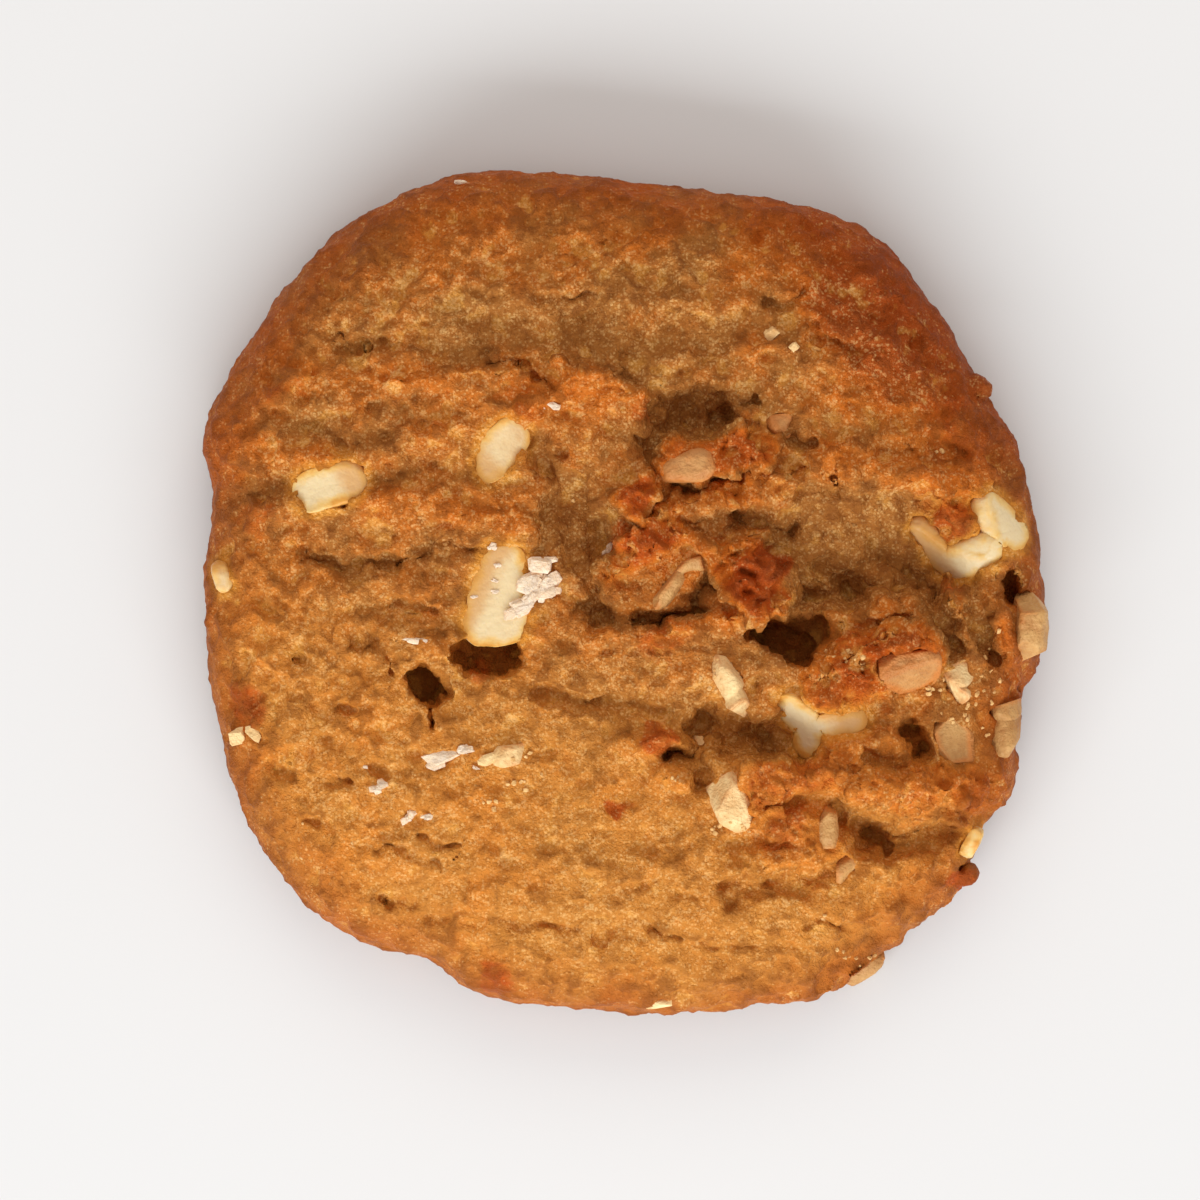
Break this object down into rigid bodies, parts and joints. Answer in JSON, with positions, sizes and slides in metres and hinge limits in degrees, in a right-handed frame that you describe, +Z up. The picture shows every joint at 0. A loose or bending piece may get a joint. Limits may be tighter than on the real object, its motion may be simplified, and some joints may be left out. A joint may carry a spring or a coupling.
{
  "type": "protein cookie",
  "caption": "Thick soft-baked round cookie with a craggy browned top, white chocolate chunks and broken nut pieces set in the dough.",
  "frame": {"origin": "on the table under the middle of the cookie", "axes": "+Z up; +Y toward the top of the picture, +X toward its right"},
  "size_m": [0.0842, 0.0842, 0.018],
  "materials": {
    "dough": "baked dough, rough and slightly oily, golden brown with darker crags",
    "white_chocolate": "smooth ivory white chocolate with a soft sheen",
    "nut": "broken nut, matte, cream to toasted tan"
  },
  "bodies": {
    "root": {"cookie_dough": "dough", "white_chip_left": "white_chocolate", "white_chip_upper": "white_chocolate", "white_chip_middle": "white_chocolate", "white_chip_right": "white_chocolate", "white_chip_low": "white_chocolate", "white_chip_rim": "white_chocolate", "white_chip_edge": "white_chocolate", "nut_upper": "nut", "nut_centre": "nut", "nut_speck": "nut", "nut_cream": "nut", "nut_flat": "nut", "nut_rim": "nut", "nut_right": "nut", "nut_rim_low": "nut", "nut_crumbly": "nut", "nut_low": "nut", "nut_shard": "nut", "nut_triangle": "nut", "nut_small": "nut", "nut_foot": "nut"}
  },
  "joints": []
}
